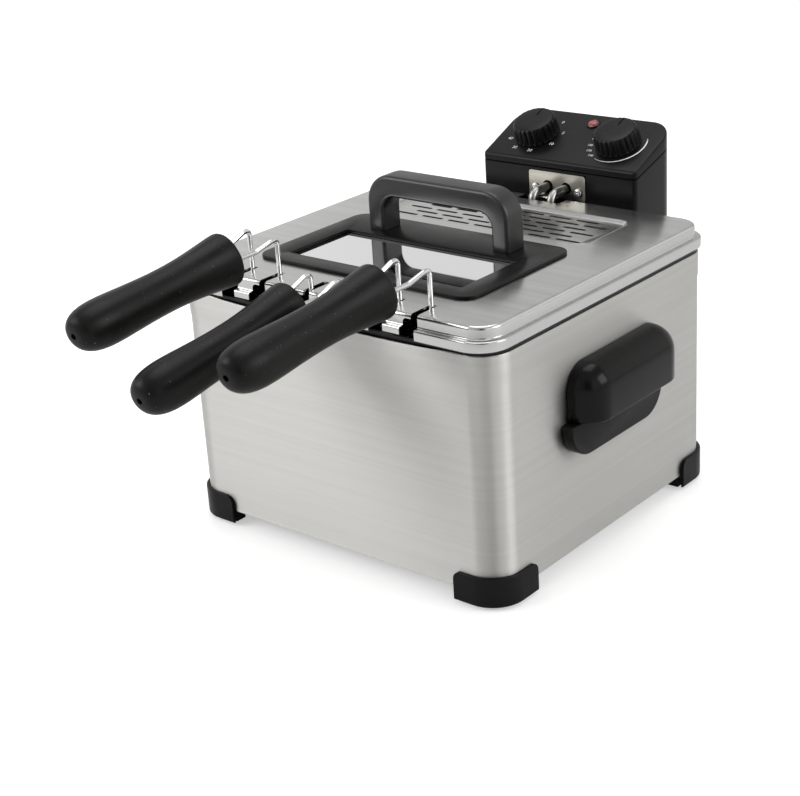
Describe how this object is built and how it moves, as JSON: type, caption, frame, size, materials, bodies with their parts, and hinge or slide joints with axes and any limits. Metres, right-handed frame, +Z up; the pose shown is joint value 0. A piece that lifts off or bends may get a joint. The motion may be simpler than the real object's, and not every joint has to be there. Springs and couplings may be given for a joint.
{
  "type": "deep fryer",
  "caption": "Electric deep fryer: steel housing on corner feet, lift-off lid with window, handle and vent, wire baskets with long grips, and a rear control box.",
  "frame": {"origin": "centre of the bounding box in X and Y, on the surface the rubber foot pads stand on", "axes": "+X is the fryer's right as seen from the front; +Y points from the basket grips towards the control unit; +Z is up"},
  "size_m": [0.3126, 0.4806, 0.2424],
  "materials": {
    "housing_steel": "brushed",
    "lid_steel": "brushed",
    "black_moulding": "satin",
    "black_grip": "fine grained satin",
    "panel_black": "satin",
    "pot_enamel": "gloss enamel",
    "bright_wire": "polished",
    "basket_steel": "nickel plated wire",
    "window_pane": "mirror coated",
    "seal_rubber": "matte",
    "foot_rubber": "matte",
    "element_steel": "polished tube",
    "filter_felt": "felt",
    "lamp_red": "translucent",
    "contact_brass": "polished",
    "mechanism_metal": "matte",
    "base_black": "matte",
    "reset_red": "satin"
  },
  "bodies": {
    "housing": {"housing_shell": "housing_steel", "base_plate": "base_black", "foot_fl": "black_moulding", "foot_fr": "black_moulding", "foot_rl": "black_moulding", "foot_rr": "black_moulding", "foot_pad_fl": "foot_rubber", "foot_pad_fr": "foot_rubber", "foot_pad_rl": "foot_rubber", "foot_pad_rr": "foot_rubber", "side_handle_l_hood": "black_moulding", "side_handle_l_plate": "black_moulding", "side_handle_r_hood": "black_moulding", "side_handle_r_plate": "black_moulding", "rear_guide": "housing_steel"},
    "pot": {"oil_pot": "pot_enamel"},
    "lid": {"lid_panel": "lid_steel", "vent_grille": "lid_steel", "filter_pad": "filter_felt", "filter_tray": "lid_steel", "window_frame": "black_moulding", "window_glass": "window_pane", "window_seal": "seal_rubber", "lid_handle": "black_moulding", "handle_screw_1": "lid_steel", "handle_screw_2": "lid_steel"},
    "large_basket": {"basket_large": "basket_steel", "basket_wire_large": "bright_wire", "grip_large": "black_grip"},
    "left_basket": {"basket_left": "basket_steel", "basket_wire_left": "bright_wire", "grip_left": "black_grip"},
    "right_basket": {"basket_right": "basket_steel", "basket_wire_right": "bright_wire", "grip_right": "black_grip"},
    "control_unit": {"control_housing": "panel_black", "control_panel": "panel_black", "bracket_plate": "lid_steel", "bracket_screw_1": "lid_steel", "bracket_screw_2": "lid_steel", "heating_element": "element_steel", "tube_tongue": "bright_wire", "probe_bulb": "bright_wire", "probe_capillary": "bright_wire", "timer_mechanism": "mechanism_metal", "thermostat_body": "mechanism_metal", "power_lamp": "lamp_red", "power_inlet": "black_moulding", "inlet_pin_1": "contact_brass", "inlet_pin_2": "contact_brass", "thermal_cutout": "black_moulding"},
    "timer_knob_body": {"timer_knob": "black_moulding"},
    "thermostat_knob_body": {"thermostat_knob": "black_moulding"},
    "reset_button_body": {"reset_button": "reset_red"}
  },
  "joints": [
    {"name": "lid_lift", "type": "slide", "parent": "housing", "child": "lid", "axis": [0, 0, 1], "range_m": [0, 0.3]},
    {"name": "left_basket_lift", "type": "slide", "parent": "housing", "child": "left_basket", "axis": [0, 0, 1], "range_m": [0, 0.225]},
    {"name": "right_basket_lift", "type": "slide", "parent": "housing", "child": "right_basket", "axis": [0, 0, 1], "range_m": [0, 0.225]},
    {"name": "large_basket_lift", "type": "slide", "parent": "housing", "child": "large_basket", "axis": [0, 0, 1], "range_m": [0, 0.18]},
    {"name": "control_unit_lift", "type": "slide", "parent": "housing", "child": "control_unit", "axis": [0, 0, 1], "range_m": [0, 0.12]},
    {"name": "pot_lift", "type": "slide", "parent": "housing", "child": "pot", "axis": [0, 0, 1], "range_m": [0, 0.06]},
    {"name": "timer_turn", "type": "hinge", "parent": "control_unit", "child": "timer_knob_body", "pos_m": [-0.0362, 0.2098, 0.22446], "axis": [0, 0.3875, -0.9219], "range_deg": [0, 300]},
    {"name": "thermostat_turn", "type": "hinge", "parent": "control_unit", "child": "thermostat_knob_body", "pos_m": [0.0362, 0.2098, 0.22446], "axis": [0, 0.3875, -0.9219], "range_deg": [0, 270]},
    {"name": "reset_press", "type": "slide", "parent": "control_unit", "child": "reset_button_body", "axis": [0, -1, 0], "range_m": [0, 0.0018], "stiffness_N_per_m": 400}
  ],
  "couplings": [
    {"joint": "left_basket_lift", "follows": "lid_lift", "ratio": 0.75},
    {"joint": "right_basket_lift", "follows": "lid_lift", "ratio": 0.75},
    {"joint": "large_basket_lift", "follows": "lid_lift", "ratio": 0.6},
    {"joint": "control_unit_lift", "follows": "lid_lift", "ratio": 0.4},
    {"joint": "pot_lift", "follows": "lid_lift", "ratio": 0.2}
  ]
}
